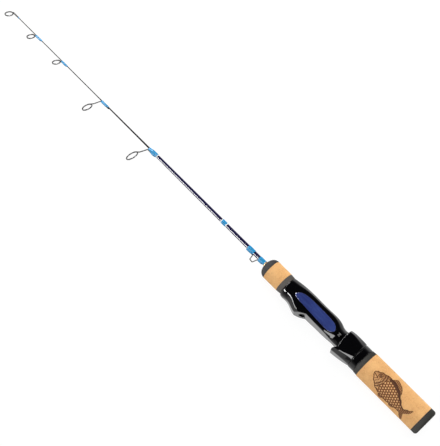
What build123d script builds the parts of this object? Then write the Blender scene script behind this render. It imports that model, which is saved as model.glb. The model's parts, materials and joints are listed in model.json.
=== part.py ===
from build123d import *
import math
import os

# Spinning-style ice fishing rod: two-piece blank, ring guides, reel seat with a screw-down hood, cork grips.
#
# Frame, in millimetres: X runs along the rod from the middle of the butt face (X = 0) to the tip, the side
# that the line runs on is +Y, and +Z is up, so the rod lies on its side. Each piece is drawn with the line's
# side towards -Y, and save() turns it half round the rod's axis into this frame.

# ---- blank ----------------------------------------------------------------------------------------------
ROD_LENGTH = 609.9
BUTT_SECTION = ((3.0, 2.5), (245.0, 2.25), (270.0, 2.1), (330.0, 2.0), (385.0, 1.8))  # (x, outer radius)
TIP_SECTION = ((360.0, 0.95), (391.0, 0.92), (415.0, 0.8), (449.0, 0.7), (477.0, 0.5), (609.9, 0.45))
TUBE_BORE = ((385.0, 0.96), (355.0, 0.96), (345.0, 1.25), (3.0, 1.6))
GLUE_GAP = 0.01  # film of glue or varnish between two bonded pieces

# ---- line guides: places of the rings, their feet and their thread wraps -------------------------------
RING_STROKE_OUT = 0.55  # frame collar, outwards from the ring's centreline
RING_STROKE_IN = 0.6  # ceramic, inwards from the centreline
COLLAR_WIDTH = 0.8
CERAMIC_WIDTH = 1.1
CERAMIC_EDGE = 0.44
WIRE_PAIRING = 0.9  # half the distance between the two wires of a foot, in wire radii
WIRE_BEND = 1.2  # inside of a bend, in wire radii
FOOT_OVERRUN = 0.3  # foot that shows before its wire leaves the blank
STRUT_SPREAD = math.radians(48.0)  # from the ring's top to where a strut meets it
STRUT_BITE = 0.33  # from the ring's centreline out to the end of a strut
THREAD_BUILD = 0.3  # thickness of a varnished layer of thread
GUIDES = {
    "guide_1": dict(ring_x=575.4, drop=5.0, radius=4.05, lean=31.0, wire=0.35, foot_end=564.2,
                    wrap=(562.9, 572.2), split=None),
    "guide_2": dict(ring_x=533.3, drop=5.2, radius=4.1, lean=31.0, wire=0.35, foot_end=522.5,
                    wrap=(521.2, 530.1), split=None),
    "guide_3": dict(ring_x=471.3, drop=15.9, radius=5.25, lean=17.0, wire=0.42, foot_end=454.0,
                    wrap=(455.7, 466.0), split=(469.5, -8.8)),
    "guide_4": dict(ring_x=398.0, drop=18.5, radius=6.35, lean=13.0, wire=0.47, foot_end=381.0,
                    wrap=(379.5, 391.6), split=(395.5, -10.3)),
}
TIP_RING = dict(ring_x=612.6, drop=4.3, radius=4.2, lean=34.0)
TIP_TUBE = (602.2, 610.6)
TIP_TUBE_RADIUS = 0.78
TIP_TUBE_BORE = ((602.2, 0.5), (609.95, 0.47))
TIP_WRAP = (601.0, 609.3)
TIP_WRAP_RADII = (0.75, 0.95)  # at its rear edge, over the tube

# ---- trim and hook keeper ------------------------------------------------------------------------------
TRIM_BAND = (276.0, 282.2)
TRIM_RADII = (2.3, 2.6)  # at its edges, between them
TRIM_TAPER = 0.8
TRIM_THREAD = 0.6  # width of a white accent thread
KEEPER_WIRE = 0.45
KEEPER_BEND = 0.6
KEEPER_LOOP = ((234.8, None), (233.9, -7.8), (230.1, -8.3), (228.1, None))  # None: at the blank
KEEPER_FEET = (222.0, 241.5)
KEEPER_WRAPS = {"keeper_wrap_front": (235.5, 243.7), "keeper_wrap_rear": (220.3, 227.6)}
CHECK = (218.6, 220.1)
CHECK_RADIUS = 2.9
CHECK_EDGE = 0.4

# ---- handle, from the butt forwards ----------------------------------------------------------------------
BEYOND = 20.0  # farther from the rod's axis than any of the handle
BUTT_CAP_LENGTH = 6.6
BUTT_EDGE = 2.7
REAR_GRIP_RADIUS = 14.4
REAR_CORK_END = 78.8
REAR_CORK_RINGS = 6
REAR_COLLAR_END = 83.7
REAR_COLLAR_RADII = (14.2, 13.75)
SEAT_FRONT = 187.7
SEAT_FRONT_RADIUS = 10.4
FORE_COLLAR_END = 193.0
FOREGRIP_RADIUS = 10.9
FOREGRIP_RINGS = 2
FORE_CORK_END = 211.0
NOSE_END = 218.6
NOSE_END_RADIUS = 2.9

# ---- reel seat -------------------------------------------------------------------------------------------
# outer skin: (x, reach to +Y, reach to -Y, reach to each side, bevel along Y, bevel along Z, corner radius)
SEAT_SKIN = (
    (SEAT_FRONT, 10.4, 10.6, 10.4, 6.1, 6.1, 9.0),
    (180.0, 11.2, 11.5, 11.0, 5.2, 6.1, 6.6),
    (172.0, 11.6, 12.9, 11.3, 3.8, 5.6, 3.6),
    (164.3, 11.7, 15.1, 11.4, 2.9, 5.0, 2.0),
    (156.0, 11.7, 14.4, 11.0, 2.7, 4.6, 1.8),
    (146.0, 11.6, 11.4, 10.5, 2.5, 4.3, 1.8),
    (134.0, 11.95, 10.6, 10.5, 2.6, 4.4, 2.2),
    (123.0, 11.4, 10.6, 10.7, 5.6, 5.9, 7.6),
    (111.4, 10.5, 10.5, 10.4, 6.1, 6.1, 9.0),
)
SEAT_REAR = 111.4
SEAT_FRONT_EDGE = 10.1  # radius at which the front face turns into a bevel
PLATFORM = 9.0  # distance of the reel-foot platform from the rod's axis
LIP = (164.5, -15.4)
MOUTH_ROOT = 153.5
POCKET_END = 168.0
POCKET_RADIUS = 12.6
POCKET_WIDTH = 12.0
SEAT_BORE = 7.0
BARREL_RADIUS = 10.0
BARREL_START = 83.8
BARREL_OVERLAP = 1.0
TRACK_START = 100.4  # the platform carries on over the barrel as far back as this
THREAD_PITCH = 2.0
THREAD_SPAN = (85.0, 105.0)
THREAD_GROOVE = ((-0.55, 0.2), (0.3, 0.65))  # (height over the barrel, half width), at its floor and mouth
KEYWAY_WIDTH = 3.0
KEYWAY_FLOOR = 9.0
KEYWAY_CUT = 3.0
INLAY = ((175.2, -1.5), (172.5, 2.0), (163.0, 4.9), (147.0, 5.5), (132.5, 5.0), (124.5, 2.6), (122.3, -1.2),
         (125.6, -4.8), (132.5, -5.8), (145.5, -4.9), (161.5, -4.4), (171.5, -4.0))
INLAY_CENTRE = (149.0, 0.3)
INLAY_FIT = 0.998  # an inlay's outline, as a fraction of its pocket's
INLAY_DEPTH = 0.9
INLAY_PROUD = 0.25
ARBORS = {
    "seat_arbor_rear": (88.0, 100.0),
    "seat_arbor_middle": (130.0, 142.0),
    "seat_arbor_front": (172.0, 184.0),
}

# ---- sliding hood and lock nut --------------------------------------------------------------------------
HOOD_REAR = 91.2
HOOD_REAR_EDGE = 13.1
EDGE_CUT = 1.3  # reach of the 45 degree cuts that bevel these two edges
HOOD_SKIN = (
    (HOOD_REAR, 13.75, 13.4, 13.7, 8.0, 8.0, 12.0),
    (96.9, 13.5, 14.05, 13.5, 5.8, 7.0, 6.0),
    (102.6, 13.2, 14.75, 13.3, 4.2, 6.4, 3.2),
    (108.3, 12.7, 15.4, 12.95, 3.4, 5.8, 2.2),
    (114.0, 10.9, 15.9, 11.6, 3.0, 5.0, 2.0),
)
HOOD_FRONT = 111.5
HOOD_CHEEK = (109.6, -9.3)
HOOD_LIP = (112.9, -14.3)
HOOD_LIP_END = 111.7
HOOD_FLANGE_END = 92.4  # the nut's rim is caught in front of this flange
HOOD_GUIDE = (93.5, 98.6)
HOOD_GUIDE_BORE = 10.1
HOOD_SKIRT_START = 99.6
HOOD_SKIRT_BORE = 11.75
HOOD_POCKET_START = 100.2
KEY_HEIGHT = 2.0
NUT = (83.9, 91.1)
NUT_RADIUS = 13.75
NUT_BEVELS = (0.5, 0.4)
NUT_BORE = 10.06
NUT_NECK = 11.0
NUT_RIM = 11.4
RIM_GAP = 0.1


def radius_at(outline, x):
    """Outer radius at x of a tapered piece whose outline is a run of (x, radius) points."""
    for (x0, r0), (x1, r1) in zip(outline, outline[1:]):
        if x0 <= x <= x1:
            return r0 + (r1 - r0) * (x - x0) / (x1 - x0)
    return outline[0][1] if x < outline[0][0] else outline[-1][1]


def turning(*points):
    """Closed (x, radius) outline, ready to be turned about the rod's axis."""
    with BuildSketch(Plane.XY) as outline:
        with BuildLine():
            Polyline(*points, close=True)
        make_face()
    return outline.sketch


def band(start, end, start_radius, end_radius=None):
    """Turning outline of everything from the axis out to a radius, between two stations."""
    return turning((start, 0), (start, start_radius), (end, end_radius or start_radius), (end, 0))


def edge_cut(face, radius, depth):
    """Turning outline that takes the outer edge off an end face at 45 degrees, from a radius outwards."""
    reach = abs(depth)
    return turning((face, radius), (face + depth, radius + reach), (face - depth, radius + reach),
                   (face - depth, radius))


def blank_hole(start, end, outline=BUTT_SECTION):
    """Turning outline of the hole that the blank fills between two stations."""
    return band(start, end, radius_at(outline, start) + GLUE_GAP, radius_at(outline, end) + GLUE_GAP)


def skin(sections, growth=0.0):
    """Bevelled, round-cornered cross-sections of an outer skin, grown or shrunk evenly all round."""
    outlines = []
    for x, top, bottom, side, bevel_y, bevel_z, corner in sections:
        top, bottom, side = top + growth, bottom + growth, side + growth
        flank = ((top - bevel_y, side), (top, side - bevel_z), (top, bevel_z - side), (top - bevel_y, -side))
        belly = ((bevel_y - bottom, -side), (-bottom, bevel_z - side), (-bottom, side - bevel_z),
                 (bevel_y - bottom, side))
        with BuildSketch(Plane.YZ.offset(x)) as outline:
            with BuildLine():
                Polyline(*flank, *belly, close=True)
            make_face()
            fillet(outline.vertices(), corner + growth)
        outlines.append(outline.sketch)
    return outlines


def pocket_section(x):
    """Cross-section of the space for a reel's foot, between its platform and the inside of a hood."""
    with BuildSketch(Plane.YZ.offset(x)) as section:
        Circle(POCKET_RADIUS)
        with Locations((-PLATFORM, 0)):
            Rectangle(2 * PLATFORM, POCKET_WIDTH, align=(Align.MAX, Align.CENTER), mode=Mode.INTERSECT)
    return section.sketch


def wrap_section(x, blank_radius, foot_drop, foot_width, foot_height):
    """Outline of thread wound round a blank and the foot that lies on it."""
    with BuildSketch(Plane.YZ.offset(x)) as section:
        Circle(blank_radius + THREAD_BUILD)
        with Locations((-foot_drop, 0)):
            RectangleRounded(foot_height + 2 * THREAD_BUILD, foot_width + 2 * THREAD_BUILD, THREAD_BUILD)
        make_hull()
    return section.sketch


def ring_plane(ring):
    """Plane of a guide's ring: it leans so that its far side is towards the tip."""
    lean = math.radians(ring["lean"])
    return Plane(
        origin=(ring["ring_x"], -ring["drop"], 0),
        x_dir=(-math.sin(lean), math.cos(lean), 0),
        z_dir=(math.cos(lean), math.sin(lean), 0),
    )


def collar_sketch(ring):
    """Outside of a frame's collar, drawn on the collar's rear face."""
    with BuildSketch(ring_plane(ring).offset(-COLLAR_WIDTH / 2)) as collar:
        Circle(ring["radius"] + RING_STROKE_OUT)
    return collar.sketch


def hole_sketch(ring):
    """Hole for the ceramic in a collar, drawn behind the collar's rear face."""
    with BuildSketch(ring_plane(ring).offset(-COLLAR_WIDTH)) as hole:
        Circle(ring["radius"])
    return hole.sketch


def ceramic_ring(ring):
    """Round-edged ceramic that the line runs over."""
    with BuildPart() as ceramic:
        with BuildSketch(ring_plane(ring).offset(-CERAMIC_WIDTH / 2)):
            Circle(ring["radius"] - 2 * GLUE_GAP)
            Circle(ring["radius"] - RING_STROKE_IN, mode=Mode.SUBTRACT)
        extrude(amount=CERAMIC_WIDTH)
        bore_edges = ceramic.edges().filter_by(GeomType.CIRCLE).group_by(SortBy.RADIUS)[0]
        fillet(bore_edges, CERAMIC_EDGE)
    return ceramic


def grip_ring(start, end, start_radius, end_radius=None):
    """Plain ring of a grip, reamed to fit the blank."""
    with BuildPart() as ring:
        revolve(band(start, end, start_radius, end_radius), axis=Axis.X)
        revolve(blank_hole(start, end), axis=Axis.X, mode=Mode.SUBTRACT)
    return ring


def inlay_outline(fit=1.0):
    """Teardrop outline of an inlay, pointed end forwards, as a fraction of its pocket's size."""
    middle_x, middle_y = INLAY_CENTRE
    points = [(middle_x + fit * (x - middle_x), middle_y + fit * (y - middle_y)) for x, y in INLAY]
    with BuildSketch(Plane.XY) as outline:
        with BuildLine():
            Spline(*points, periodic=True)
        make_face()
    return outline.sketch


def save(piece, name):
    """Turn a finished piece half round the rod's axis, label it and write it as its own node."""
    turned = piece.part.rotate(Axis.X, 180)
    turned.label = name
    export_step(turned, f"parts/{name}.step")


os.makedirs("parts", exist_ok=True)

# ==== blank ===============================================================================================
with BuildPart() as blank_butt_section:
    revolve(turning(*BUTT_SECTION, *TUBE_BORE), axis=Axis.X)
save(blank_butt_section, "blank_butt_section")

with BuildPart() as blank_tip_section:
    revolve(turning((TIP_SECTION[0][0], 0), *TIP_SECTION, (ROD_LENGTH, 0)), axis=Axis.X)
save(blank_tip_section, "blank_tip_section")

# ==== guides ==============================================================================================
for name, guide in GUIDES.items():
    wire = guide["wire"]
    wrap_start, wrap_end = guide["wrap"]
    blank = BUTT_SECTION if wrap_start < BUTT_SECTION[-1][0] else TIP_SECTION
    blank_end = blank[-1][0]
    blank_radius = radius_at(blank, wrap_start)
    foot_drop = blank_radius + wire + 2 * GLUE_GAP
    side = WIRE_PAIRING * wire
    reach = guide["radius"] + STRUT_BITE
    strut_end = ring_plane(guide).from_local_coords(
        (reach * math.cos(STRUT_SPREAD), reach * math.sin(STRUT_SPREAD), 0)
    )
    route = [(guide["foot_end"], -foot_drop, side), (wrap_end + FOOT_OVERRUN, -foot_drop, side)]
    if guide["split"]:
        route.append((*guide["split"], side))
    route.append((strut_end.X, strut_end.Y, abs(strut_end.Z)))

    with BuildPart() as guide_frame:
        with BuildLine() as centre:
            FilletPolyline(*route, radius=WIRE_BEND * wire)
        with BuildSketch(Plane(centre.line @ 0, z_dir=centre.line % 0)):
            Circle(wire)
        sweep()
        mirror(about=Plane.XY)
        extrude(collar_sketch(guide), amount=COLLAR_WIDTH)
        extrude(hole_sketch(guide), amount=2 * COLLAR_WIDTH, mode=Mode.SUBTRACT)
    save(guide_frame, f"{name}_frame")
    save(ceramic_ring(guide), f"{name}_ring")

    with BuildPart() as guide_wrap:
        outline = wrap_section(wrap_start, blank_radius, foot_drop, 2 * (side + wire), 2 * wire)
        extrude(outline, amount=wrap_end - wrap_start)
        revolve(blank_hole(wrap_start, min(wrap_end, blank_end), blank), axis=Axis.X, mode=Mode.SUBTRACT)
        if wrap_end > blank_end:
            revolve(blank_hole(blank_end, wrap_end, TIP_SECTION), axis=Axis.X, mode=Mode.SUBTRACT)
        with BuildSketch(Plane.YZ.offset(max(wrap_start, guide["foot_end"]) - 2 * GLUE_GAP)):
            with Locations((-foot_drop, side), (-foot_drop, -side)):
                Circle(wire + GLUE_GAP)
            with Locations((-foot_drop, 0)):
                Rectangle(2 * (wire + GLUE_GAP), 2 * side)
        extrude(amount=wrap_end - wrap_start + 1, mode=Mode.SUBTRACT)
    save(guide_wrap, f"{name}_wrap")

# ==== tip-top =============================================================================================
with BuildPart() as tip_top_frame:
    revolve(band(*TIP_TUBE, TIP_TUBE_RADIUS), axis=Axis.X)
    extrude(collar_sketch(TIP_RING), amount=COLLAR_WIDTH)
    extrude(hole_sketch(TIP_RING), amount=2 * COLLAR_WIDTH, mode=Mode.SUBTRACT)
    (bore_start, bore_start_radius), (bore_end, bore_end_radius) = TIP_TUBE_BORE
    revolve(band(bore_start, bore_end, bore_start_radius, bore_end_radius), axis=Axis.X, mode=Mode.SUBTRACT)
save(tip_top_frame, "tip_top_frame")
save(ceramic_ring(TIP_RING), "tip_top_ring")

with BuildPart() as tip_top_wrap:
    edge_radius, middle_radius = TIP_WRAP_RADII
    revolve(turning((TIP_WRAP[0], 0), (TIP_WRAP[0], edge_radius), (TIP_TUBE[0], middle_radius),
                    (TIP_WRAP[1], middle_radius), (TIP_WRAP[1], 0)), axis=Axis.X)
    revolve(blank_hole(*TIP_WRAP, TIP_SECTION), axis=Axis.X, mode=Mode.SUBTRACT)
    revolve(band(TIP_TUBE[0] - GLUE_GAP, TIP_TUBE[1], TIP_TUBE_RADIUS + GLUE_GAP), axis=Axis.X,
            mode=Mode.SUBTRACT)
save(tip_top_wrap, "tip_top_wrap")

# ==== trim and hook keeper ================================================================================
with BuildPart() as trim_band:
    edge_radius, middle_radius = TRIM_RADII
    revolve(turning((TRIM_BAND[0], 0), (TRIM_BAND[0], edge_radius),
                    (TRIM_BAND[0] + TRIM_TAPER, middle_radius), (TRIM_BAND[1] - TRIM_TAPER, middle_radius),
                    (TRIM_BAND[1], edge_radius), (TRIM_BAND[1], 0)), axis=Axis.X)
    revolve(blank_hole(*TRIM_BAND), axis=Axis.X, mode=Mode.SUBTRACT)
save(trim_band, "trim_band")

TRIM_THREADS = {
    "trim_thread_rear": TRIM_BAND[0] - TRIM_THREAD - GLUE_GAP,
    "trim_thread_front": TRIM_BAND[1] + GLUE_GAP,
    "guide_4_trim_thread": GUIDES["guide_4"]["wrap"][0] - TRIM_THREAD - GLUE_GAP,
}
for name, start in TRIM_THREADS.items():
    thread_radius = radius_at(BUTT_SECTION, start) + THREAD_BUILD
    save(grip_ring(start, start + TRIM_THREAD, thread_radius), name)

rear_foot, front_foot = KEEPER_FEET
keeper_drop = radius_at(BUTT_SECTION, rear_foot) + KEEPER_WIRE + 2 * GLUE_GAP
keeper_route = [(x, -keeper_drop if y is None else y) for x, y in KEEPER_LOOP]
with BuildPart() as hook_keeper:
    with BuildLine() as keeper_centre:
        FilletPolyline((front_foot, -keeper_drop), *keeper_route, (rear_foot, -keeper_drop),
                       radius=KEEPER_BEND)
    with BuildSketch(Plane(keeper_centre.line @ 0, z_dir=keeper_centre.line % 0)):
        Circle(KEEPER_WIRE)
    sweep()
save(hook_keeper, "hook_keeper")

for name, (wrap_start, wrap_end) in KEEPER_WRAPS.items():
    foot_start = max(wrap_start - 1, rear_foot - 2 * GLUE_GAP)
    foot_stop = min(wrap_end + 1, front_foot + 2 * GLUE_GAP)
    with BuildPart() as keeper_wrap:
        outline = wrap_section(wrap_start, radius_at(BUTT_SECTION, wrap_start), keeper_drop,
                               2 * KEEPER_WIRE, 2 * KEEPER_WIRE)
        extrude(outline, amount=wrap_end - wrap_start)
        revolve(blank_hole(wrap_start, wrap_end), axis=Axis.X, mode=Mode.SUBTRACT)
        with BuildSketch(Plane.YZ.offset(foot_start)):
            with Locations((-keeper_drop, 0)):
                Circle(KEEPER_WIRE + GLUE_GAP)
        extrude(amount=foot_stop - foot_start, mode=Mode.SUBTRACT)
    save(keeper_wrap, name)

with BuildPart() as winding_check:
    revolve(band(*CHECK, CHECK_RADIUS), axis=Axis.X)
    fillet(winding_check.edges().sort_by(Axis.X)[-1], CHECK_EDGE)
    revolve(blank_hole(*CHECK), axis=Axis.X, mode=Mode.SUBTRACT)
save(winding_check, "winding_check")

# ==== foregrip ============================================================================================
with BuildPart() as foregrip_nose:
    with BuildSketch(Plane.XY):
        with BuildLine():
            EllipticalCenterArc((FORE_CORK_END, NOSE_END_RADIUS), NOSE_END - FORE_CORK_END,
                                FOREGRIP_RADIUS - NOSE_END_RADIUS, start_angle=0, arc_size=90)
            Polyline((FORE_CORK_END, FOREGRIP_RADIUS), (FORE_CORK_END, 0), (NOSE_END, 0),
                     (NOSE_END, NOSE_END_RADIUS))
        make_face()
    revolve(axis=Axis.X)
    revolve(blank_hole(FORE_CORK_END, NOSE_END), axis=Axis.X, mode=Mode.SUBTRACT)
save(foregrip_nose, "foregrip_nose")

fore_ring_length = (FORE_CORK_END - FORE_COLLAR_END) / FOREGRIP_RINGS
for number in range(FOREGRIP_RINGS):
    start = FORE_COLLAR_END + number * fore_ring_length
    save(grip_ring(start, start + fore_ring_length, FOREGRIP_RADIUS), f"foregrip_cork_ring_{number + 1}")
save(grip_ring(SEAT_FRONT, FORE_COLLAR_END, SEAT_FRONT_RADIUS, FOREGRIP_RADIUS), "foregrip_collar")

# ==== reel seat ===========================================================================================
with BuildPart() as reel_seat_body:
    loft(skin(SEAT_SKIN))
    # pocket for an inlay in each flank: cut right through, then the core is put back
    extrude(inlay_outline(), amount=BEYOND, both=True, mode=Mode.SUBTRACT)
    loft(skin(SEAT_SKIN, -INLAY_DEPTH))
    revolve(band(BARREL_START, SEAT_REAR + BARREL_OVERLAP, BARREL_RADIUS), axis=Axis.X)
    # the mouth of the fixed hood slopes from its lip to the platform, which runs back over the barrel
    with BuildSketch(Plane.XY):
        with BuildLine():
            Polyline((LIP[0], -BEYOND), LIP, (MOUTH_ROOT, -PLATFORM), (TRACK_START, -PLATFORM),
                     (TRACK_START, -BEYOND), close=True)
        make_face()
    extrude(amount=BEYOND, both=True, mode=Mode.SUBTRACT)
    extrude(pocket_section(POCKET_END), amount=MOUTH_ROOT - POCKET_END, mode=Mode.SUBTRACT)
    # screw thread, cut as a helical groove with sloping sides
    with BuildLine(mode=Mode.PRIVATE) as thread_path:
        Helix(THREAD_PITCH, THREAD_SPAN[1] - THREAD_SPAN[0], BARREL_RADIUS, center=(THREAD_SPAN[0], 0, 0),
              direction=(1, 0, 0))
    thread_start = thread_path.line @ 0
    outwards = (0, thread_start.Y, thread_start.Z)
    with BuildSketch(Plane(thread_start, x_dir=outwards, z_dir=thread_path.line % 0)):
        with BuildLine():
            (floor, floor_half), (mouth, mouth_half) = THREAD_GROOVE
            Polyline((floor, -floor_half), (mouth, -mouth_half), (mouth, mouth_half), (floor, floor_half),
                     close=True)
        make_face()
    sweep(path=thread_path.line, is_frenet=True, mode=Mode.SUBTRACT)
    # keyway that stops the sliding hood turning
    with BuildSketch(Plane.XZ.offset(-KEYWAY_FLOOR)):
        with Locations(((BARREL_START + SEAT_REAR) / 2, 0)):
            Rectangle(SEAT_REAR - BARREL_START, KEYWAY_WIDTH)
    extrude(amount=-KEYWAY_CUT, mode=Mode.SUBTRACT)
    revolve(band(BARREL_START, SEAT_FRONT, SEAT_BORE), axis=Axis.X, mode=Mode.SUBTRACT)
    revolve(edge_cut(SEAT_FRONT, SEAT_FRONT_EDGE, -EDGE_CUT), axis=Axis.X, mode=Mode.SUBTRACT)
save(reel_seat_body, "reel_seat_body")

# the upper flank faces -Z before the half turn
for name, facing in {"seat_inlay_upper": -1, "seat_inlay_lower": 1}.items():
    with BuildPart() as seat_inlay:
        loft(skin(SEAT_SKIN, INLAY_PROUD))
        loft(skin(SEAT_SKIN, 2 * GLUE_GAP - INLAY_DEPTH), mode=Mode.SUBTRACT)
        extrude(inlay_outline(INLAY_FIT), amount=facing * BEYOND, mode=Mode.INTERSECT)
    save(seat_inlay, name)

for name, (start, end) in ARBORS.items():
    save(grip_ring(start, end, SEAT_BORE - GLUE_GAP), name)

# ==== sliding hood and lock nut ==========================================================================
with BuildPart() as sliding_hood:
    loft(skin(HOOD_SKIN))
    # front edge: square above, sloping back along the cheeks and out again to the lip
    hood_limit = HOOD_SKIN[-1][0] + 1
    with BuildSketch(Plane.XY):
        with BuildLine():
            Polyline((HOOD_FRONT, BEYOND), (HOOD_FRONT, 0), HOOD_CHEEK, HOOD_LIP, (HOOD_LIP_END, -BEYOND),
                     (hood_limit, -BEYOND), (hood_limit, BEYOND), close=True)
        make_face()
    extrude(amount=BEYOND, both=True, mode=Mode.SUBTRACT)
    revolve(turning((HOOD_REAR - 1, 0), (HOOD_REAR - 1, NUT_NECK + RIM_GAP),
                    (HOOD_FLANGE_END, NUT_NECK + RIM_GAP), (HOOD_FLANGE_END, NUT_RIM + RIM_GAP),
                    (HOOD_GUIDE[0], NUT_RIM + RIM_GAP),
                    (HOOD_GUIDE[0], HOOD_GUIDE_BORE), (HOOD_GUIDE[1], HOOD_GUIDE_BORE),
                    (HOOD_SKIRT_START, HOOD_SKIRT_BORE), (hood_limit, HOOD_SKIRT_BORE), (hood_limit, 0)),
            axis=Axis.X, mode=Mode.SUBTRACT)
    extrude(pocket_section(HOOD_POCKET_START), amount=BEYOND, mode=Mode.SUBTRACT)
    revolve(edge_cut(HOOD_REAR, HOOD_REAR_EDGE, EDGE_CUT), axis=Axis.X, mode=Mode.SUBTRACT)
    # key that runs in the barrel's keyway
    with BuildSketch(Plane.XZ.offset(-KEYWAY_FLOOR - RIM_GAP)):
        with Locations((sum(HOOD_GUIDE) / 2, 0)):
            Rectangle(HOOD_GUIDE[1] - HOOD_GUIDE[0], KEYWAY_WIDTH - 2 * RIM_GAP)
    extrude(amount=-KEY_HEIGHT)
save(sliding_hood, "sliding_hood")

with BuildPart() as lock_nut:
    rear_bevel, front_bevel = NUT_BEVELS
    rim_start = HOOD_FLANGE_END + RIM_GAP
    rim_end = HOOD_GUIDE[0] - RIM_GAP
    revolve(turning((NUT[0], 0), (NUT[0], NUT_RADIUS - rear_bevel), (NUT[0] + rear_bevel, NUT_RADIUS),
                    (NUT[1] - front_bevel, NUT_RADIUS), (NUT[1], NUT_RADIUS - front_bevel),
                    (NUT[1], NUT_NECK), (rim_start, NUT_NECK), (rim_start, NUT_RIM), (rim_end, NUT_RIM),
                    (rim_end, 0)), axis=Axis.X)
    revolve(band(NUT[0] - 1, HOOD_GUIDE[0], NUT_BORE), axis=Axis.X, mode=Mode.SUBTRACT)
save(lock_nut, "lock_nut")

# ==== rear grip ===========================================================================================
save(grip_ring(REAR_CORK_END, REAR_COLLAR_END, *REAR_COLLAR_RADII), "rear_collar")
rear_ring_length = (REAR_CORK_END - BUTT_CAP_LENGTH) / REAR_CORK_RINGS
for number in range(REAR_CORK_RINGS):
    start = BUTT_CAP_LENGTH + number * rear_ring_length
    save(grip_ring(start, start + rear_ring_length, REAR_GRIP_RADIUS), f"rear_cork_ring_{number + 1}")

with BuildPart() as butt_cap:
    revolve(band(0, BUTT_CAP_LENGTH, REAR_GRIP_RADIUS), axis=Axis.X)
    fillet(butt_cap.edges().filter_by(GeomType.CIRCLE).sort_by(Axis.X)[0], BUTT_EDGE)
    revolve(blank_hole(BUTT_SECTION[0][0] - GLUE_GAP, BUTT_CAP_LENGTH), axis=Axis.X, mode=Mode.SUBTRACT)
save(butt_cap, "butt_cap")
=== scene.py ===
"""Looks of the ice fishing rod: materials, finely meshed soft and wound pieces, studio light and camera.

Metres, in the part's frame: X runs from the butt face to the tip, +Y is the side of the guides, +Z is up.
"""

import json
import math

import bmesh
import bpy
from mathutils import Matrix, Vector, noise
from mathutils.bvhtree import BVHTree


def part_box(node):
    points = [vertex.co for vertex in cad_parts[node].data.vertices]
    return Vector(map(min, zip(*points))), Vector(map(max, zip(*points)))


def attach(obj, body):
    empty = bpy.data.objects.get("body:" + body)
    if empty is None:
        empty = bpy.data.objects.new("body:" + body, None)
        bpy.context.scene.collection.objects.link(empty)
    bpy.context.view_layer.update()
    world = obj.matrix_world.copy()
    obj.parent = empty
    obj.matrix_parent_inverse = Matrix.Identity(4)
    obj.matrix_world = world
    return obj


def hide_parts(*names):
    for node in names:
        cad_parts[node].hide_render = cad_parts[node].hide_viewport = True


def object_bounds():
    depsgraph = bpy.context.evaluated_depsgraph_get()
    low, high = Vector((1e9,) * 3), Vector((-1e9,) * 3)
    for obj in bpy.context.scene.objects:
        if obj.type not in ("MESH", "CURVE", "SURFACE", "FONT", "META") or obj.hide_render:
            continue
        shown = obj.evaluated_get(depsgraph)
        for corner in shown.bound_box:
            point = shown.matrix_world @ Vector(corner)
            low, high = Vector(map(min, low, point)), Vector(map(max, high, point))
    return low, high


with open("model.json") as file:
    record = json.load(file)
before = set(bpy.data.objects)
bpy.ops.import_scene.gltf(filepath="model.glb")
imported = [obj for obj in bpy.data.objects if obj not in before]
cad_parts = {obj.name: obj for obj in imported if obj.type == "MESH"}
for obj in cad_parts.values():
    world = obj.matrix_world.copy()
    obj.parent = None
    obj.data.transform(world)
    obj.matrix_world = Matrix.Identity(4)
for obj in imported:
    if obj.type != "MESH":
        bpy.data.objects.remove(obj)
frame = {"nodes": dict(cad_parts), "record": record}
cad_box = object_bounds()
NODES = frame["nodes"]
MM = 0.001


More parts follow.
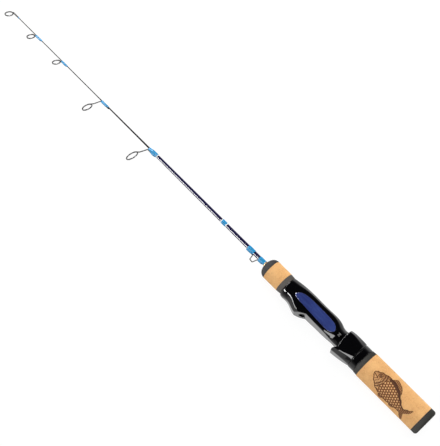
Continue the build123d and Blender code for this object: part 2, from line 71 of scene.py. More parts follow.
# ---- material kit -------------------------------------------------------------------------------------
class Shader:
    """A node material under construction; coordinates are the part's own, in millimetres."""

    def __init__(self, name, **inputs):
        self.material = bpy.data.materials.new(name)
        self.material.use_nodes = True
        self.nodes = self.material.node_tree.nodes
        self.bsdf = self.nodes["Principled BSDF"]
        for key, value in inputs.items():
            self.bsdf.inputs[key.replace("_", " ")].default_value = value
        where = self.add("ShaderNodeTexCoord")
        scale = self.add("ShaderNodeVectorMath", operation="SCALE")
        scale.inputs["Scale"].default_value = 1 / MM
        self.link(where.outputs["Object"], scale.inputs[0])
        self.place = scale.outputs["Vector"]

    def add(self, kind, **settings):
        node = self.nodes.new(kind)
        for key, value in settings.items():
            setattr(node, key, value)
        return node

    def link(self, output, target):
        self.material.node_tree.links.new(output, target)

    def stretched(self, x, y, z):
        """Coordinates scaled differently along each axis."""
        node = self.add("ShaderNodeVectorMath", operation="MULTIPLY")
        node.inputs[1].default_value = (x, y, z)
        self.link(self.place, node.inputs[0])
        return node.outputs["Vector"]

    def noise(self, scale, detail=4.0, roughness=0.55, place=None):
        node = self.add("ShaderNodeTexNoise")
        node.inputs["Scale"].default_value = scale
        node.inputs["Detail"].default_value = detail
        node.inputs["Roughness"].default_value = roughness
        self.link(place or self.place, node.inputs["Vector"])
        return node.outputs["Fac"]

    def cells(self, scale):
        """Distance to the nearest of many scattered points."""
        node = self.add("ShaderNodeTexVoronoi")
        node.inputs["Scale"].default_value = scale
        self.link(self.place, node.inputs["Vector"])
        return node.outputs["Distance"]

    def ramp(self, value, *stops):
        """Maps a value through (position, grey) stops."""
        node = self.add("ShaderNodeValToRGB")
        elements = node.color_ramp.elements
        while len(elements) < len(stops):
            elements.new(0.5)
        for element, (position, grey) in zip(elements, stops):
            element.position = position
            element.color = (grey, grey, grey, 1)
        self.link(value, node.inputs["Fac"])
        return node.outputs["Color"]

    def mix(self, factor, first, second):
        """Colour between two colours; each of the three may be a value or another node's output."""
        node = self.add("ShaderNodeMix", data_type="RGBA")
        for socket, value in ((node.inputs[0], factor), (node.inputs[6], first), (node.inputs[7], second)):
            if isinstance(value, bpy.types.NodeSocket):
                self.link(value, socket)
            elif isinstance(value, tuple):
                socket.default_value = (*value, 1)
            else:
                socket.default_value = value
        return node.outputs[2]

    def ramp_between(self, factor, low, middle, high):
        """Colour that runs from low through middle to high as the factor goes from 0 to 1."""
        halves = [self.add("ShaderNodeMapRange") for _ in range(2)]
        for half, start in zip(halves, (0.0, 0.5)):
            self.link(factor, half.inputs["Value"])
            half.inputs["From Min"].default_value = start
            half.inputs["From Max"].default_value = start + 0.5
        first = self.mix(halves[0].outputs["Result"], low, middle)
        return self.mix(halves[1].outputs["Result"], first, high)

    def along(self):
        """Distance along the rod, in millimetres."""
        node = self.add("ShaderNodeSeparateXYZ")
        self.link(self.place, node.inputs[0])
        return node.outputs["X"]

    def math(self, operation, first, second=0.0):
        node = self.add("ShaderNodeMath", operation=operation)
        for socket, value in zip(node.inputs, (first, second)):
            if isinstance(value, bpy.types.NodeSocket):
                self.link(value, socket)
            else:
                socket.default_value = value
        return node.outputs[0]

    def bump(self, height, depth_mm, strength=1.0, after=None):
        node = self.add("ShaderNodeBump")
        node.inputs["Distance"].default_value = depth_mm * MM
        node.inputs["Strength"].default_value = strength
        self.link(height, node.inputs["Height"])
        if after is not None:
            self.link(after, node.inputs["Normal"])
        self.link(node.outputs["Normal"], self.bsdf.inputs["Normal"])
        return node.outputs["Normal"]

    def edges(self, radius_mm):
        """(normal that rounds sharp edges, how near a sharp edge is from 0 to 1)."""
        rounded = self.add("ShaderNodeBevel", samples=6)
        rounded.inputs["Radius"].default_value = radius_mm * MM
        plain = self.add("ShaderNodeNewGeometry")
        turn = self.add("ShaderNodeVectorMath", operation="DOT_PRODUCT")
        self.link(rounded.outputs["Normal"], turn.inputs[0])
        self.link(plain.outputs["Normal"], turn.inputs[1])
        return rounded.outputs["Normal"], self.ramp(turn.outputs["Value"], (0.84, 1.0), (0.985, 0.0))

    def colour(self, output):
        self.link(output, self.bsdf.inputs["Base Color"])

    def rough(self, low, high, scale=1.2):
        """Roughness that wanders between two values."""
        self.link(self.ramp(self.noise(scale), (0.3, low), (0.7, high)), self.bsdf.inputs["Roughness"])


# ---- materials ----------------------------------------------------------------------------------------
def cork_material():
    """Sanded cork; a burnt design darkens it wherever a mesh carries one."""
    s = Shader("cork", Roughness=0.8)
    s.bsdf.inputs["Specular IOR Level"].default_value = 0.1
    grain = s.noise(0.9, detail=6)
    broad = s.noise(0.09, detail=3)
    tone = s.mix(s.ramp(grain, (0.35, 0.0), (0.68, 1.0)), (0.62, 0.315, 0.115), (0.76, 0.43, 0.175))
    tone = s.mix(s.ramp(broad, (0.35, 0.0), (0.65, 0.55)), tone, (0.81, 0.485, 0.205))
    fleck = s.ramp(s.noise(0.55, detail=5, roughness=0.7, place=s.stretched(0.5, 1.6, 1.6)),
                   (0.61, 0.0), (0.70, 1.0))
    tone = s.mix(s.math("MULTIPLY", fleck, 0.55), tone, (0.30, 0.12, 0.045))
    pit = s.ramp(s.cells(0.42), (0.05, 1.0), (0.13, 0.0))
    tone = s.mix(s.math("MULTIPLY", pit, 0.6), tone, (0.20, 0.08, 0.03))
    burnt = s.add("ShaderNodeAttribute", attribute_name="burnt")
    scorch = s.math("MULTIPLY", burnt.outputs["Fac"], s.ramp(grain, (0.3, 0.86), (0.6, 1.0)))
    s.colour(s.ramp_between(scorch, tone, (0.20, 0.075, 0.028), (0.022, 0.010, 0.008)))
    s.rough(0.68, 0.9, 0.7)
    first = s.bump(s.noise(2.6, detail=6), 0.12, 0.5)
    s.bump(s.ramp(s.cells(0.42), (0.04, 0.0), (0.14, 1.0)), 0.25, 0.7, after=first)
    return s.material


def foam_material():
    """Closed-cell grip foam, warmer towards the tip and greener towards the butt."""
    s = Shader("foam", Roughness=0.85)
    s.bsdf.inputs["Specular IOR Level"].default_value = 0.3
    fine = s.ramp(s.noise(3.2, detail=5, roughness=0.7), (0.38, 0.0), (0.66, 1.0))
    rear = s.mix(fine, (0.015, 0.014, 0.012), (0.031, 0.030, 0.025))
    front = s.mix(fine, (0.052, 0.046, 0.041), (0.094, 0.083, 0.072))
    nose = s.mix(fine, (0.018, 0.017, 0.018), (0.036, 0.033, 0.034))
    tone = s.mix(s.math("GREATER_THAN", s.along(), 130.0), rear, front)
    s.colour(s.mix(s.math("GREATER_THAN", s.along(), 205.0), tone, nose))
    s.rough(0.72, 0.95, 1.5)
    first = s.bump(s.cells(2.4), 0.06, 0.6)
    s.bump(s.noise(6.0, detail=3), 0.03, 0.5, after=first)
    return s.material


def seat_material():
    """Gloss black moulding with hairline scuffs and paler edges: partly slightly rubbed wear, partly a
    painted highlight along them.
    """
    s = Shader("seat_black")
    s.bsdf.inputs["IOR"].default_value = 1.42
    rounded, edge = s.edges(0.4)
    hairlines = s.noise(0.5, detail=8, roughness=0.75, place=s.stretched(4.0, 0.6, 0.6))
    scuff = s.ramp(hairlines, (0.5, 0.0), (0.75, 1.0))
    # edges painted paler grey: partly rubbed wear, partly a painted highlight standing in for glints along
    # every edge
    rubbed_edge_and_highlight = s.math("MULTIPLY", edge, s.ramp(s.noise(0.9, detail=5), (0.35, 0.55), (0.6, 1.0)))
    s.colour(s.mix(rubbed_edge_and_highlight, (0.0010, 0.0010, 0.0014), (0.17, 0.17, 0.165)))
    s.link(s.math("ADD", s.math("MULTIPLY", scuff, 0.10), s.math("MULTIPLY", rubbed_edge_and_highlight, 0.2)),
           s.bsdf.inputs["Roughness"])
    s.bump(s.noise(0.6, detail=2), 0.012, 0.3, after=rounded)
    return s.material


def inlay_material():
    """Deep blue lacquer with a fine sparkle, under a clear coat."""
    s = Shader("inlay_blue", Roughness=0.16)
    s.bsdf.inputs["Coat Weight"].default_value = 1.0
    s.bsdf.inputs["Coat Roughness"].default_value = 0.04
    streak = s.noise(0.22, detail=5, place=s.stretched(0.25, 1.4, 1.4))
    tone = s.mix(s.ramp(streak, (0.35, 0.0), (0.7, 1.0)), (0.015, 0.026, 0.135), (0.026, 0.048, 0.200))
    sparkle = s.ramp(s.cells(5.0), (0.05, 1.0), (0.22, 0.0))
    s.colour(s.mix(s.math("MULTIPLY", sparkle, 0.25), tone, (0.10, 0.15, 0.42)))
    s.bump(s.noise(1.5, detail=3), 0.015, 0.3)
    return s.material


def thread_material(name, dark, light, pitch):
    """Wound thread of a given pitch (mm) under a clear varnish that has filled most of the grooves."""
    s = Shader(name)
    s.bsdf.inputs["IOR"].default_value = 1.3
    turns = s.math("SINE", s.math("MULTIPLY", s.along(), 2 * math.pi / pitch))
    turns = s.math("ADD", s.math("MULTIPLY", turns, 0.5), 0.5)
    tone = s.mix(turns, dark, light)
    s.colour(s.mix(s.ramp(s.noise(1.3), (0.4, 0.0), (0.7, 0.4)), tone, light))
    s.rough(0.34, 0.42, 1.1)
    s.bump(turns, 0.003, 0.2)
    return s.material


def paler(colour, gain, lift=0.0):
    """A lighter version of a colour."""
    return tuple(min(1.0, gain * channel + lift) for channel in colour)


def blank_material(name, near, far, start, end, roughness, ior):
    """Varnished glass-fibre blank whose colour drifts from one station (mm) to another."""
    s = Shader(name)
    s.bsdf.inputs["IOR"].default_value = ior
    span = s.add("ShaderNodeMapRange")
    s.link(s.along(), span.inputs["Value"])
    span.inputs["From Min"].default_value = start
    span.inputs["From Max"].default_value = end
    tone = s.mix(span.outputs["Result"], near, far)
    fibre = s.noise(1.1, detail=6, place=s.stretched(0.08, 3.0, 3.0))
    s.colour(s.mix(s.ramp(fibre, (0.4, 0.0), (0.75, 0.35)), tone, paler(near, 2.2, 0.01)))
    s.rough(0.8 * roughness, 1.3 * roughness, 0.8)
    s.bump(s.noise(0.8, detail=3, place=s.stretched(0.3, 1, 1)), 0.006, 0.4)
    return s.material


def metal_material(name, colour, low, high, metallic):
    """Unevenly worn metal, its roughness between low and high; a dark coating is only partly metallic."""
    s = Shader(name, Metallic=metallic)
    worn = s.noise(2.2, detail=6, roughness=0.7)
    s.colour(s.mix(s.ramp(worn, (0.45, 0.0), (0.72, 0.5)), colour, paler(colour, 1.9)))
    s.rough(low, high, 1.8)
    s.bump(s.noise(3.5, detail=4), 0.01, 0.5)
    return s.material


def ceramic_material():
    """Polished dark ceramic of the line rings."""
    s = Shader("ring_ceramic", Roughness=0.1)
    s.bsdf.inputs["Coat Weight"].default_value = 0.5
    s.colour(s.mix(s.noise(2.0), (0.012, 0.012, 0.014), (0.030, 0.030, 0.033)))
    s.rough(0.06, 0.16, 2.0)
    return s.material


def arbor_material():
    """Pale foam of the arbors hidden in the reel seat."""
    s = Shader("arbor_foam", Roughness=0.9)
    s.colour(s.mix(s.noise(1.5, detail=6), (0.45, 0.38, 0.26), (0.62, 0.55, 0.42)))
    s.bump(s.cells(1.2), 0.2, 0.5)
    return s.material


MATERIALS = {
    "cork": cork_material(),
    "foam": foam_material(),
    "seat_black": seat_material(),
    "inlay_blue": inlay_material(),
    "thread_blue": thread_material("thread_blue", (0.003, 0.18, 0.42), (0.006, 0.29, 0.57), 0.22),
    "thread_white": thread_material("thread_white", (0.60, 0.60, 0.58), (0.85, 0.85, 0.83), 0.2),
    "blank_navy": blank_material(
        "blank_navy", near=(0.007, 0.005, 0.038), far=(0.008, 0.006, 0.042),
        start=200, end=390, roughness=0.04, ior=1.65,
    ),
    "blank_grey": blank_material(
        "blank_grey", near=(0.004, 0.0035, 0.006), far=(0.018, 0.015, 0.013),
        start=400, end=600, roughness=0.5, ior=1.15,
    ),
    "guide_metal": metal_material("guide_metal", (0.008, 0.0075, 0.0065), 0.35, 0.55, 0.2),
    "check_metal": metal_material("check_metal", (0.55, 0.38, 0.22), 0.25, 0.4, 0.9),
    "ring_ceramic": ceramic_material(),
    "arbor_foam": arbor_material(),
}
SLOT_OF = {row["node"]: row["material_slot"] for row in frame["record"]["subparts"]}
for node_name, node in NODES.items():
    node.data.materials.clear()
    node.data.materials.append(MATERIALS[SLOT_OF[node_name]])


# ---- wire frames, shown heavier than their modelled gauge, so that they don't fade against a pale floor --
SEAM = 0.002 * MM  # vertices nearer than this are one, so that a thickened surface stays closed
COATING = 0.05 * MM
TALL_GUIDE_COATING = 0.13 * MM
TALL_GUIDES = ("guide_3_frame", "guide_4_frame")

for node_name in sorted(NODES):
    if SLOT_OF[node_name] == "guide_metal":
        weld = NODES[node_name].modifiers.new("weld", "WELD")
        weld.merge_threshold = SEAM
        coating = NODES[node_name].modifiers.new("coating", "DISPLACE")
        coating.mid_level = 0.0
        coating.strength = TALL_GUIDE_COATING if node_name in TALL_GUIDES else COATING


# ---- mesh kit -------------------------------------------------------------------------------------------
def piece(name, slot, vertices, faces, replaced):
    """A finished mesh piece that rides on the rod, in place of the CAD node it refines."""
    mesh = bpy.data.meshes.new(name)
    mesh.from_pydata(vertices, [], faces)
    mesh.update()
    outward = bmesh.new()
    outward.from_mesh(mesh)
    bmesh.ops.remove_doubles(outward, verts=outward.verts, dist=1e-7)
    bmesh.ops.recalc_face_normals(outward, faces=outward.faces)
    outward.to_mesh(mesh)
    outward.free()
    mesh.polygons.foreach_set("use_smooth", [True] * len(mesh.polygons))
    mesh.materials.append(MATERIALS[slot])
    made = bpy.data.objects.new(name, mesh)
    bpy.context.scene.collection.objects.link(made)
    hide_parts(replaced)
    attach(made, "rod")
    return made


def ring_grid(rings, closed=True):
    """Vertices and faces of a skin over rings of equally many points; closed joins the last to the first."""
    count = len(rings[0])
    vertices = [point for ring in rings for point in ring]
    faces = []
    for i in range(len(rings) if closed else len(rings) - 1):
        a, b = i * count, (i + 1) % len(rings) * count
        faces += [(a + j, a + (j + 1) % count, b + (j + 1) % count, b + j) for j in range(count)]
    return vertices, faces


def lathe_stations(node):
    """(x, outer radius) at each station of a turned CAD node, from the butt forwards, read off its faces."""
    mesh = NODES[node].data
    radii = {}
    for face in mesh.polygons:
        away = Vector((0, face.center.y, face.center.z)).normalized()
        outside = face.normal.dot(away) > 0.05  # neither a bore nor an end
        if outside:
            for index in face.vertices:
                place = mesh.vertices[index].co
                radii.setdefault(round(place.x, 6), []).append(math.hypot(place.y, place.z))
    return [(x, max(found)) for x, found in sorted(radii.items())]


def radius_along(stations, x):
    """Outer radius at x between lathe stations."""
    for (x0, r0), (x1, r1) in zip(stations, stations[1:]):
        if x0 <= x <= x1:
            return r0 + (r1 - r0) * (x - x0) / (x1 - x0)
    return stations[0][1] if x < stations[0][0] else stations[-1][1]


BUTT_STATIONS = lathe_stations("blank_butt_section")
TIP_STATIONS = lathe_stations("blank_tip_section")


def blank_radius(x):
    """Radius of the blank's outside at x."""
    return radius_along(BUTT_STATIONS if x <= BUTT_STATIONS[-1][0] else TIP_STATIONS, x)


def round_ring(x, radius, count, relief=None):
    """Ring of points about the rod's axis; relief is the height that a point gains."""
    ring = []
    for k in range(count):
        angle = 2 * math.pi * k / count
        away = Vector((0, math.cos(angle), math.sin(angle)))
        point = Vector((x, 0, 0)) + away * radius
        ring.append(point + away * relief(point) if relief else point)
    return ring


def cell_pits(point, spacing, size, share):
    """How deep a scattered round pit is at a point, from 0 to 1; only a share of the cells hold one."""
    distances, centres = noise.voronoi(point / spacing)
    if noise.cell(centres[0] * 7.3) > share:
        return 0.0
    return max(0.0, 1.0 - (distances[0] * spacing / size) ** 2)


# ---- grips ----------------------------------------------------------------------------------------------
END_CROWDING = 0.25  # how far a grip piece's rings are drawn towards its ends, from 0 (even) to 1
CORK_STEP, FOAM_STEP = 0.32 * MM, 0.4 * MM  # distance between the rings of a grip piece
CORK_ROUNDING, COLLAR_ROUNDING, NOSE_ROUNDING = 0.1 * MM, 0.2 * MM, 0.02 * MM
CAP_ROUNDING = 2.7 * MM
CAP_STEPS = 12  # round the edge of the cap
CAP_COUNT = 176
# radius and depth in millimetres of the rings that make the cap's rear face
CAP_FACE = ((0.4, 0.0), (3.0, 0.0), (5.4, 0.0), (5.7, 0.16), (6.3, 0.16), (6.6, 0.0), (9.0, 0.02))


def worn_end(distance, rounding):
    """How far a rounded end has dropped below the full radius, at a distance from the end."""
    if distance >= rounding:
        return 0.0
    return rounding - math.sqrt(max(0.0, rounding ** 2 - (rounding - distance) ** 2))


def grip_piece(node, slot, step, count, rounding, relief):
    """A turned grip piece, finely meshed outside, with rounded ends and a plain bore."""
    stations = lathe_stations(node)
    start, end = stations[0][0], stations[-1][0]
    steps = max(8, round((end - start) / step))
    rings = []
    for k in range(steps + 1):
        crowded = 0.5 - 0.5 * math.cos(math.pi * k / steps)
        x = start + (end - start) * crowded * END_CROWDING + (end - start) * k / steps * (1 - END_CROWDING)
        drop = max(worn_end(x - start, rounding), worn_end(end - x, rounding))
        rings.append(round_ring(x, radius_along(stations, x) - drop, count, relief))
    rings.append(round_ring(end, blank_radius(end), count))
    rings.append(round_ring(start, blank_radius(start), count))
    return piece(node + "_fine", slot, *ring_grid(rings), node)


def cork_relief(point):
    """Open pores, the waviness of sanded cork, and the burnt design sunk into it."""
    height = -0.22 * MM * cell_pits(point, 2.6 * MM, 0.55 * MM, 0.55)
    height += 0.05 * MM * noise.noise(point / (2.2 * MM))
    return height - 0.10 * MM * fish_burn(point)


def foam_relief(point):
    """Fine grain of the foam on a slight waviness."""
    return 0.035 * MM * noise.noise(point / (0.5 * MM)) + 0.04 * MM * noise.noise(point / (3 * MM))


# a fish burnt into the rear grip, drawn by rule in millimetres: s is its share of the length, from the snout
# to the tail, and t is the distance across, positive towards its back
FISH_LENGTH = 51.0
FISH_MIDDLE = (43.0, 7.4)  # along the rod, and round the grip towards the guides from straight up
FISH_TURN = math.radians(13)
FISH_BACK = ((0, 0.4), (0.04, 2.9), (0.12, 6.3), (0.25, 9.6), (0.4, 10.9), (0.55, 9.6), (0.7, 6.0),
             (0.81, 3.2), (0.86, 3.0), (0.93, 6.4), (1.0, 10.0))
FISH_BELLY = ((0, 0.4), (0.04, 2.6), (0.12, 5.6), (0.25, 8.8), (0.4, 10.2), (0.55, 8.8), (0.7, 5.4),
              (0.81, 3.0), (0.86, 2.8), (0.93, 6.0), (1.0, 9.4))
DORSAL_FIN = ((0.30, 0.0), (0.36, 4.4), (0.5, 4.0), (0.62, 1.6), (0.64, 0.0))
BELLY_FIN = ((0.36, 0.0), (0.42, 3.6), (0.47, 3.2), (0.49, 0.0),
             (0.62, 0.0), (0.67, 3.0), (0.73, 1.6), (0.75, 0.0))
FISH_REACH = 16  # nothing is drawn further across than this
HEAD_END = 0.27
TAIL_START = 0.85
TAIL_NOTCH = 0.93  # where the fork of the tail is deepest
EYE = (6.6, 2.6)  # from the snout, and across
GILL_COVERS = (7.4, 9.6)  # radii of the two gill lines
SCALE_LENGTH, SCALE_WIDTH = 2.9, 2.3


def between(points, s):
    """Smooth interpolation of (s, value) points."""
    for (s0, v0), (s1, v1) in zip(points, points[1:]):
        if s0 <= s <= s1:
            w = (s - s0) / (s1 - s0)
            return v0 + (v1 - v0) * w * w * (3 - 2 * w)
    return 0.0


def stroke(distance, width):
    """Soft-edged line: 1 in the middle, 0 from its width outwards."""
    return min(1.0, max(0.0, 1.6 * (1 - abs(distance) / width)))


def rays(distance, spacing):
    """Fin rays: a wave from 0 to 1 across a distance."""
    return 0.5 + 0.5 * math.sin(6.28 * distance / spacing)


def fin_burn(s, beyond, fin):
    """Burn of a fin, at a distance beyond the fish's edge."""
    if beyond > fin + 0.3:
        return 0.0
    return max(0.25 + 0.55 * rays(s * FISH_LENGTH + 0.5 * beyond, 1.7), stroke(beyond - fin, 0.5))


def head_burn(from_snout, t, edge, shade):
    """Burn of the head: its eye, mouth, gill covers and wrinkles."""
    tone = 0.55 * shade
    eye = math.hypot(from_snout - EYE[0], t - EYE[1])
    tone = max(tone, stroke(eye - 1.7, 0.45), 1.0 if eye < 0.85 else 0.0)
    if 0.85 < eye < 1.35:
        tone = 0.05
    mouth = stroke(t + 0.8 + 0.05 * (from_snout - 4) ** 2 * (1 if from_snout > 4 else 0), 0.5)
    tone = max(tone, mouth if from_snout < 7.2 else 0.0)
    for reach in GILL_COVERS:
        cover = math.hypot(from_snout - 4.2, 0.85 * t) - reach
        tone = max(tone, stroke(cover, 0.5) if from_snout > 8 else 0.0)
    wrinkle = 0.5 + 0.5 * math.sin(2.6 * from_snout + 1.7 * math.sin(1.1 * t))
    wrinkled = 4 < from_snout and abs(t) < 0.8 * edge
    return max(tone, 0.75 * wrinkle ** 4 if wrinkled else 0.0)


def body_burn(s, t, share, shade):
    """Burn of the body: staggered scales with pale middles, a dark back and the line along its side."""
    row = round(t / SCALE_WIDTH)
    cell = (s * FISH_LENGTH / SCALE_LENGTH + 0.5 * (row % 2)) % 1.0 - 0.5
    spot = math.hypot(SCALE_LENGTH * cell, t - SCALE_WIDTH * row)
    ring = min(1.0, max(0.0, (spot - 0.62) / 0.35))
    on_back = share >= 0.72
    scales = max(shade, 0.85) if on_back else max(shade, 0.62) * ring
    return max(scales, 0.8 * stroke(t - 1.2 * math.sin(3 * s), 0.35))


def fish_burn(point):
    """How deeply a point of the rear grip is burnt, from 0 to 1."""
    dx = point.x / MM - FISH_MIDDLE[0]
    radius = math.hypot(point.y, point.z) / MM
    around = math.atan2(point.y, point.z) * radius - FISH_MIDDLE[1]
    s = 0.5 - (dx * math.cos(FISH_TURN) - around * math.sin(FISH_TURN)) / FISH_LENGTH
    t = -(dx * math.sin(FISH_TURN) + around * math.cos(FISH_TURN))
    depth = abs(t)
    if not 0 <= s <= 1 or depth > FISH_REACH:
        return 0.0
    in_tail_fork = s > TAIL_NOTCH and s > TAIL_NOTCH + (1 - TAIL_NOTCH) * depth / 6
    if in_tail_fork:
        return 0.0
    edge = between(FISH_BACK if t > 0 else FISH_BELLY, s)
    if depth > edge + 0.4:
        return fin_burn(s, depth - edge, between(DORSAL_FIN if t > 0 else BELLY_FIN, s))
    outline = stroke(depth - edge, 0.75)
    if s > TAIL_START:
        return max(outline, 0.3 + 0.6 * rays(t, 1.6))
    share = t / max(edge, 0.1)
    shade = 0.35 + 0.6 * max(0.0, share) ** 1.2 if t > 0 else 0.35 - 0.22 * abs(share)
    if s < HEAD_END:
        return max(outline, head_burn(s * FISH_LENGTH, t, edge, shade))
    return max(outline, body_burn(s, t, share, shade))


def burnt_cork(node):
    """A ring of the rear grip, with the fish's burn stored on its vertices for the cork material."""
    made = grip_piece(node, "cork", CORK_STEP, 272, CORK_ROUNDING, cork_relief)
    burnt = made.data.attributes.new("burnt", "FLOAT", "POINT")
    burnt.data.foreach_set("value", [fish_burn(vertex.co) for vertex in made.data.vertices])
    return made


def cap_piece(node):
    """The butt cap: turned, with a blind bore and a slightly domed rear end that has a ring pressed in it."""
    low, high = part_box(node)
    radius = high.z
    dome = 0.05 * MM
    profile = [(low.x + depth * MM, r * MM) for r, depth in CAP_FACE]
    profile.append((low.x + dome, radius - CAP_ROUNDING))
    for k in range(1, CAP_STEPS + 1):
        turn = math.pi / 2 * k / CAP_STEPS
        profile.append((low.x + CAP_ROUNDING * (1 - math.cos(turn)) + dome * (1 - k / CAP_STEPS),
                        radius - CAP_ROUNDING * (1 - math.sin(turn))))
    side = high.x - low.x - CAP_ROUNDING - 0.2 * MM
    profile += [(low.x + CAP_ROUNDING + side * k / 10, radius) for k in range(1, 11)]
    profile += [(high.x, radius - 0.2 * MM), (high.x, blank_radius(high.x))]
    rings = [round_ring(x, r, CAP_COUNT, foam_relief if r > 8 * MM else None) for x, r in profile]
    vertices, faces = ring_grid(rings, closed=False)
    last = (len(rings) - 1) * CAP_COUNT
    bore = len(vertices)
    bore_x = BUTT_STATIONS[0][0]
    vertices += round_ring(bore_x, blank_radius(high.x), CAP_COUNT)
    bore_middle = len(vertices)
    vertices += [Vector((bore_x, 0, 0)), Vector((low.x, 0, 0))]
    face_middle = bore_middle + 1
    for j in range(CAP_COUNT):
        k = (j + 1) % CAP_COUNT
        faces.append((last + j, last + k, bore + k, bore + j))
        faces.append((bore + j, bore + k, bore_middle))
        faces.append((k, j, face_middle))
    return piece(node + "_fine", "foam", vertices, faces, node)


for node_name in sorted(NODES):
    if node_name.startswith("rear_cork_ring"):
        burnt_cork(node_name)
    elif node_name.startswith("foregrip_cork_ring"):
        grip_piece(node_name, "cork", CORK_STEP, 208, CORK_ROUNDING, cork_relief)
    elif node_name in ("foregrip_collar", "rear_collar"):
        grip_piece(node_name, "foam", FOAM_STEP, 176, COLLAR_ROUNDING, foam_relief)
    elif node_name == "foregrip_nose":
        grip_piece(node_name, "foam", FOAM_STEP, 176, NOSE_ROUNDING, foam_relief)
    elif node_name == "butt_cap":
        cap_piece(node_name)


# ---- thread wraps ---------------------------------------------------------------------------------------
WRAP_COUNT = 72  # points round a wrap
WRAP_STEP = 0.18 * MM
WRAP_OVERRUN = 0.25 * MM  # how far the varnish runs past the thread at each end
VARNISH_EDGE = 0.03 * MM
FOOT_VARNISH = 0.3 * MM  # over a guide's foot
FOOT_START = 0.6 * MM  # from the wrap's rear end to where it begins to climb onto a foot
FOOT_RUN = 3.2 * MM  # length of that climb
SINK = 0.02 * MM  # how far a wrap's hidden underside lies in the blank


def eased(share):
    """Smooth step from 0 to 1."""
    return share * share * (3 - 2 * share)


def wrapped_radius(x, start, end):
    """Radius under a wrap at x; a wrap that starts on the butt section slopes down over its front step."""
    inner = blank_radius(x)
    step_x, step_radius = BUTT_STATIONS[-1]
    if start < step_x < x:
        inner += (step_radius - inner) * (1 - eased((x - step_x) / (end - step_x)))
    return inner


def wrap_piece(node, slot, coat, shoulder):
    """Varnished thread round the blank and a guide's foot, thinning to nothing at both ends."""
    low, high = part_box(node)
    start, end = low.x - WRAP_OVERRUN, high.x + WRAP_OVERRUN
    steps = round((end - start) / WRAP_STEP)
    core = blank_radius(start)
    has_foot = high.y > core + 2 * FOOT_VARNISH
    foot_radius = (high.y - core - FOOT_VARNISH) / 2
    foot_sides = [abs(v.co.z) for v in NODES[node].data.vertices if v.co.y > core + 0.33 * MM]
    foot_side = max(0.0, max(foot_sides, default=0.0) - foot_radius - FOOT_VARNISH)
    rings = []
    for k in range(steps + 1):
        x = start + (end - start) * k / steps
        inner = wrapped_radius(x, start, end)
        near = min(1.0, min(x - start, end - x) / shoulder)
        layer = VARNISH_EDGE + (coat - VARNISH_EDGE) * math.sqrt(max(0.0, 1 - (1 - near) ** 2))
        rise = eased(min(1.0, max(0.0, (x - start - FOOT_START) / FOOT_RUN)))
        circles = [(0.0, 0.0, inner + layer)]
        if has_foot:
            sunk = inner + foot_radius - (1 - rise) * 2.1 * foot_radius
            circles += [(sunk, side, foot_radius + layer) for side in (-foot_side, foot_side)]
        ring = []
        for j in range(WRAP_COUNT):
            angle = 2 * math.pi * j / WRAP_COUNT
            y, z = math.cos(angle), math.sin(angle)
            cy, cz, radius = max(circles, key=lambda circle: circle[0] * y + circle[1] * z + circle[2])
            point = Vector((x, cy + y * radius, cz + z * radius))
            swell = 0.002 * MM * noise.noise(point / (1.6 * MM)) * near
            ring.append(point + Vector((0, y, z)) * swell)
        rings.append(ring)
    rings.append(round_ring(end, blank_radius(end) - SINK, WRAP_COUNT))
    rings.append(round_ring(start, blank_radius(start) - SINK, WRAP_COUNT))
    return piece(node + "_fine", slot, *ring_grid(rings), node)


for node_name in sorted(NODES):
    if SLOT_OF[node_name] == "thread_blue":
        wrap_piece(node_name, "thread_blue", 0.34 * MM, 1.5 * MM)
    elif SLOT_OF[node_name] == "thread_white":
        wrap_piece(node_name, "thread_white", 0.30 * MM, 0.3 * MM)


# ---- inlays ---------------------------------------------------------------------------------------------
INLAY_COUNT = 160  # points round an inlay
INLAY_DEPTH = 0.95 * MM
# how far each ring of an inlay's top lies from its edge towards its spine, and how high in millimetres
INLAY_RINGS = ((0.0, -0.12), (0.01, 0.02), (0.03, 0.10), (0.06, 0.16), (0.10, 0.20), (0.2, 0.26),
               (0.35, 0.32), (0.5, 0.36), (0.65, 0.385), (0.8, 0.395), (0.9, 0.40))


def convex_outline(corners):
    """The (x, y) corners, in order round their convex hull, from a sorted list."""
    hull = []
    for run in (corners, corners[::-1]):
        chain = []
        for corner in run:
            while len(chain) > 1 and (
                (chain[-1][0] - chain[-2][0]) * (corner[1] - chain[-2][1])
                - (chain[-1][1] - chain[-2][1]) * (corner[0] - chain[-2][0])
            ) <= 0:
                chain.pop()
            chain.append(corner)
        hull += chain[:-1]
    return hull


def evenly_spaced(hull, count):
    """Points at equal distances round a closed outline."""
    lengths = [0.0]
    for (x0, y0), (x1, y1) in zip(hull, hull[1:] + hull[:1]):
        lengths.append(lengths[-1] + math.hypot(x1 - x0, y1 - y0))
    outline = []
    for k in range(count):
        want = lengths[-1] * k / count
        i = max(n for n in range(len(hull)) if lengths[n] <= want)
        w = (want - lengths[i]) / (lengths[i + 1] - lengths[i])
        (x0, y0), (x1, y1) = hull[i], hull[(i + 1) % len(hull)]
        outline.append(Vector((x0 + (x1 - x0) * w, y0 + (y1 - y0) * w, 0)))
    return outline


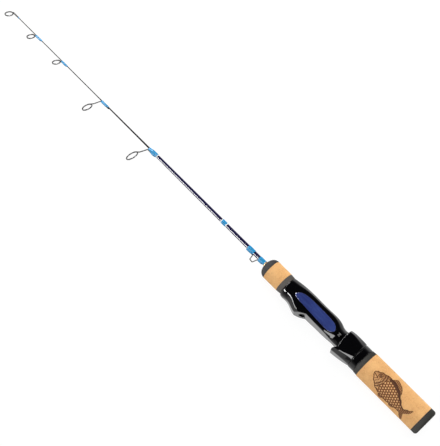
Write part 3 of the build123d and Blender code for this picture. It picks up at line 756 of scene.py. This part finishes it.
def inlay_piece(node):
    """A domed teardrop with a rolled edge, set in the seat's flank."""
    low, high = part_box(node)
    source = NODES[node].data
    side = 1 if source.vertices[0].co.z > 0 else -1
    surface = BVHTree.FromPolygons([v.co.copy() for v in source.vertices],
                                   [tuple(p.vertices) for p in source.polygons])
    corners = sorted({(round(v.co.x, 6), round(v.co.y, 6)) for v in source.vertices})
    outline = evenly_spaced(convex_outline(corners), INLAY_COUNT)
    centre = sum(outline, Vector()) / INLAY_COUNT
    spine = [Vector((min(max(p.x, low.x + 6 * MM), high.x - 6 * MM), centre.y * 0.6 + p.y * 0.4 * 0.3, 0))
             for p in outline]

    def above(p, lift):
        """The point at p's place and a height above the flank, which is met a little inside the outline."""
        for share in (0.985, 0.96, 0.93, 0.9, 0.8):
            inside = centre + (p - centre) * share
            hit = surface.ray_cast(Vector((inside.x, inside.y, side * 0.05)), Vector((0, 0, -side)))[0]
            if hit:
                return Vector((p.x, p.y, hit.z + side * lift))

    rings = [[above(p, -INLAY_DEPTH) for p in outline]]
    for share, lift in INLAY_RINGS:
        rings.append([above(p.lerp(q, share), lift * MM) for p, q in zip(outline, spine)])
    vertices, faces = ring_grid(rings, closed=False)
    last = (len(rings) - 1) * INLAY_COUNT
    vertices.append(above(centre, -INLAY_DEPTH))
    faces += [(j, (j + 1) % INLAY_COUNT, len(vertices) - 1) for j in range(INLAY_COUNT)]
    faces.append(tuple(range(last, last + INLAY_COUNT)))
    return piece(node + "_fine", "inlay_blue", vertices, faces, node)


for node_name in ("seat_inlay_upper", "seat_inlay_lower"):
    inlay_piece(node_name)


# ---- floor, light and camera ----------------------------------------------------------------------------
FLOOR_REACH = 6.0  # to each side
FLOOR_TURN = ((-1, -1), (1, -1), (1, 1), (-1, 1))
floor_corners = [(x * FLOOR_REACH, y * FLOOR_REACH, cad_box[0].z) for x, y in FLOOR_TURN]
floor_mesh = bpy.data.meshes.new("floor")
floor_mesh.from_pydata(floor_corners, [], [(0, 1, 2, 3)])
floor = bpy.data.objects.new("floor", floor_mesh)
bpy.context.scene.collection.objects.link(floor)
floor_shader = Shader("floor", Base_Color=(0.1, 0.1, 0.1, 1), Roughness=0.9)
floor_shader.bsdf.inputs["Specular IOR Level"].default_value = 0.0
floor_shader.bsdf.inputs["Emission Color"].default_value = (1, 1, 1, 1)
floor_shader.bsdf.inputs["Emission Strength"].default_value = 0.92
floor_mesh.materials.append(floor_shader.material)

scene = bpy.context.scene
scene.view_settings.view_transform = "Standard"
world = bpy.data.worlds.new("studio")
scene.world = world
world.use_nodes = True
sky = world.node_tree
direction = sky.nodes.new("ShaderNodeTexCoord")
height = sky.nodes.new("ShaderNodeSeparateXYZ")
shade = sky.nodes.new("ShaderNodeValToRGB")
sky.links.new(direction.outputs["Generated"], height.inputs[0])
sky.links.new(height.outputs["Z"], shade.inputs["Fac"])
sky.links.new(shade.outputs["Color"], sky.nodes["Background"].inputs["Color"])
shade.color_ramp.elements[0].position = 0.0
shade.color_ramp.elements[0].color = (0.42, 0.42, 0.43, 1)
shade.color_ramp.elements[1].position = 0.4
shade.color_ramp.elements[1].color = (0.035, 0.035, 0.037, 1)


def softbox(name, place, target, size_x, size_y, watts, reflected):
    """A rectangular lamp that either lights surfaces or shows in their gloss."""
    light = bpy.data.lights.new(name, "AREA")
    light.shape = "RECTANGLE"
    light.size, light.size_y = size_x, size_y
    light.energy = watts
    lamp = bpy.data.objects.new(name, light)
    scene.collection.objects.link(lamp)
    lamp.location = place
    lamp.rotation_mode = "QUATERNION"
    lamp.rotation_quaternion = (target - place).to_track_quat("-Z", "Y")
    lamp.visible_glossy = reflected
    lamp.visible_diffuse = not reflected


MIDDLE = Vector(((cad_box[0].x + cad_box[1].x) / 2, 0, 0))
softbox("overhead", MIDDLE + Vector((0.0, -0.2, 1.5)), MIDDLE, 1.6, 1.2, 17, False)
softbox("far_side", MIDDLE + Vector((0.0, -1.1, 0.8)), MIDDLE, 1.6, 0.6, 14, False)
softbox("near_side", MIDDLE + Vector((0.0, 1.1, 0.7)), MIDDLE, 1.6, 0.6, 8, False)
softbox("tip_side_glint", Vector((0.90, 0.95, 0.60)), Vector((0.90, 0, 0.60)), 0.92, 0.30, 36, True)
softbox("butt_side_glint", Vector((-0.29, 0.95, 0.65)), Vector((-0.29, 0, 0.65)), 0.64, 0.90, 19, True)
softbox("front_glint", Vector((0.96, -0.22, 0.69)), Vector((0.14, 0, 0)), 0.45, 0.45, 22, True)

CAMERA_DISTANCE = 1.149  # from the rod's axis
CAMERA_FOOT_X = -0.0113  # where its perpendicular meets the axis
CAMERA_ROLL = math.radians(12)  # towards the guides, from straight above
CAMERA_SWING = math.radians(14.33)  # of the view, towards the tip
CAMERA_AIM_Y = math.radians(0.15)  # of the view, towards the guides
CAMERA_LENS = 94.84  # millimetres
PICTURE_TURN = math.radians(44.92)  # of the rod in the picture
back = Vector((0, math.sin(CAMERA_ROLL), math.cos(CAMERA_ROLL)))
along = Vector((1, 0, 0))
looking = -back * math.cos(CAMERA_SWING) + along * math.sin(CAMERA_SWING)
buttward = -(along * math.cos(CAMERA_SWING) + back * math.sin(CAMERA_SWING))
guideward = looking.cross(buttward)
looking = (looking + guideward * math.tan(CAMERA_AIM_Y)).normalized()
guideward = (guideward - looking * guideward.dot(looking)).normalized()
right = buttward * math.cos(PICTURE_TURN) - guideward * math.sin(PICTURE_TURN)
up = -buttward * math.sin(PICTURE_TURN) - guideward * math.cos(PICTURE_TURN)
camera = bpy.data.objects.new("camera", bpy.data.cameras.new("camera"))
scene.collection.objects.link(camera)
camera.data.lens = CAMERA_LENS
camera.data.clip_end = 20
camera.matrix_world = Matrix.Translation(Vector((CAMERA_FOOT_X, 0, 0)) + back * CAMERA_DISTANCE) @ Matrix(
    (right, up, -looking)
).transposed().to_4x4()
scene.camera = camera
